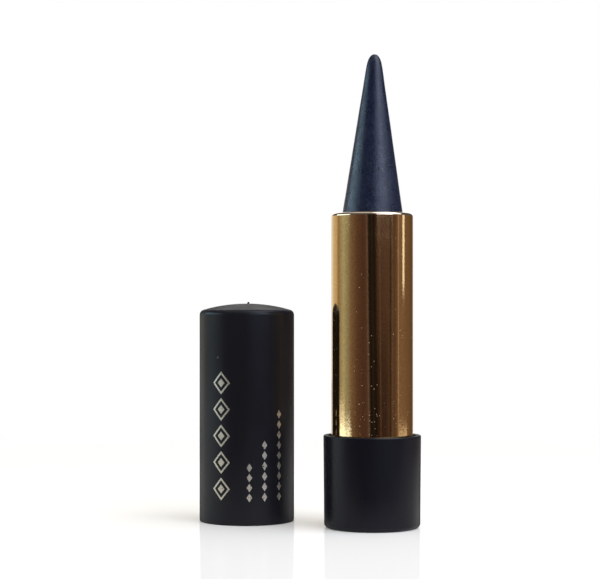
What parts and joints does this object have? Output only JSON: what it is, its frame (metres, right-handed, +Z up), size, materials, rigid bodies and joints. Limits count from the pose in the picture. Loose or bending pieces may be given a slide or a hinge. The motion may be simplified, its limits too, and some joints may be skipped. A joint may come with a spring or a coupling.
{
  "type": "twist-up kohl stick",
  "caption": "Twist-up kohl stick in a slim two-tone case: black domed cap standing beside a black base, bright gold tube and raised dark blue kohl cone.",
  "frame": {"origin": "centre of the base's foot, on the surface that the stick stands on", "axes": "+Z up along the tube to the kohl's tip, +X to the viewer's right, +Y away from the viewer; the cap stands at -X, a little to the rear"},
  "size_m": [0.0442, 0.0301, 0.093],
  "materials": {
    "black_soft": "matte black, slightly soft to the touch",
    "gold_metal": "drawn aluminium, gold anodised, mirror bright",
    "kohl_wax": "dense dark blue wax with a dull sheen",
    "white_moulding": "plain white moulding",
    "ivory_moulding": "plain ivory moulding",
    "weight_steel": "turned steel slug",
    "ring_rubber": "translucent grey silicone rubber",
    "label_paper": "smooth white paper with a plain dark blue ring"
  },
  "bodies": {
    "base": {"base_shell": "black_soft", "base_insert": "ivory_moulding", "base_weight": "weight_steel", "shade_label": "label_paper", "fork_tube": "white_moulding", "brake_ring": "ring_rubber"},
    "barrel": {"gold_tube": "gold_metal", "spiral_sleeve": "ivory_moulding"},
    "carrier": {"carrier_cup": "white_moulding", "kohl_stick": "kohl_wax"},
    "cap": {"cap_shell": "black_soft", "cap_liner": "ivory_moulding"}
  },
  "joints": [
    {"name": "tube_turn", "type": "hinge", "parent": "base", "child": "barrel", "pos_m": [0, 0, 0.04], "axis": [0, 0, 1], "range_deg": [0, 640]},
    {"name": "kohl_rise", "type": "slide", "parent": "base", "child": "carrier", "axis": [0, 0, 1], "range_m": [-0.032, 0]},
    {"name": "cap_lift", "type": "slide", "parent": "base", "child": "cap", "axis": [0, 0, 1], "range_m": [0, 0.1]}
  ],
  "couplings": [
    {"joint": "tube_turn", "follows": "kohl_rise", "rad_per_m": -349.07}
  ]
}
